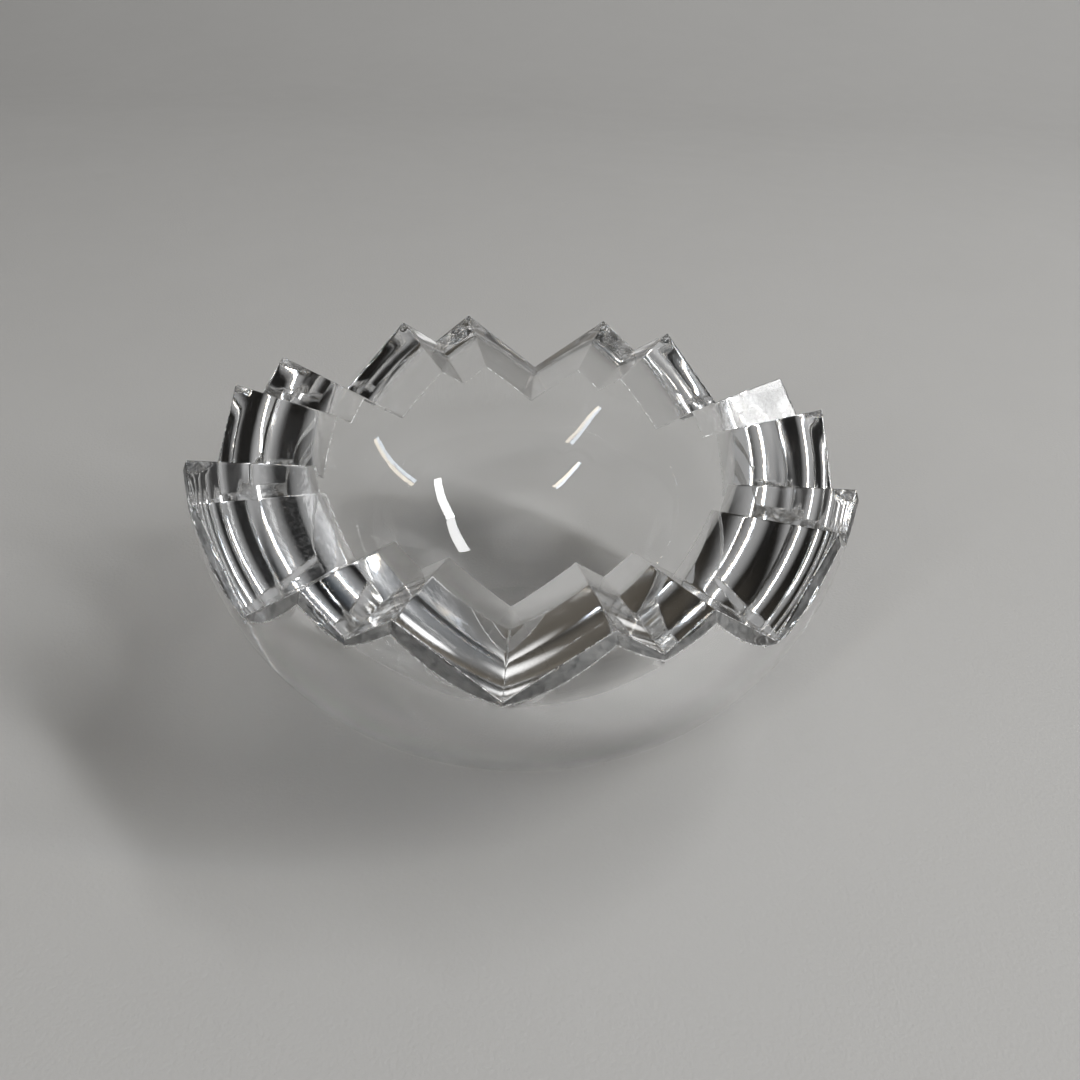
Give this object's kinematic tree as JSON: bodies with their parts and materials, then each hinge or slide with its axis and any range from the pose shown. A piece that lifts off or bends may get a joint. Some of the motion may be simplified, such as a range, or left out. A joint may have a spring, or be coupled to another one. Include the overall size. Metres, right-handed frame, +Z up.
{
  "type": "cut crystal bowl",
  "caption": "Heavy round bowl of clear cut glass with a thick wall, a smooth hollow and a crown rim of V notches that meet in sharp tips.",
  "frame": {"origin": "centre of the flat base, on the surface that the bowl stands on", "axes": "+Z up along the axis of the round body, -Y to the front through the middle of one large notch, +X to the right"},
  "size_m": [0.1476, 0.1476, 0.0675],
  "materials": {
    "crystal": "polished clear crystal"
  },
  "bodies": {
    "root": {"bowl": "crystal"}
  },
  "joints": []
}
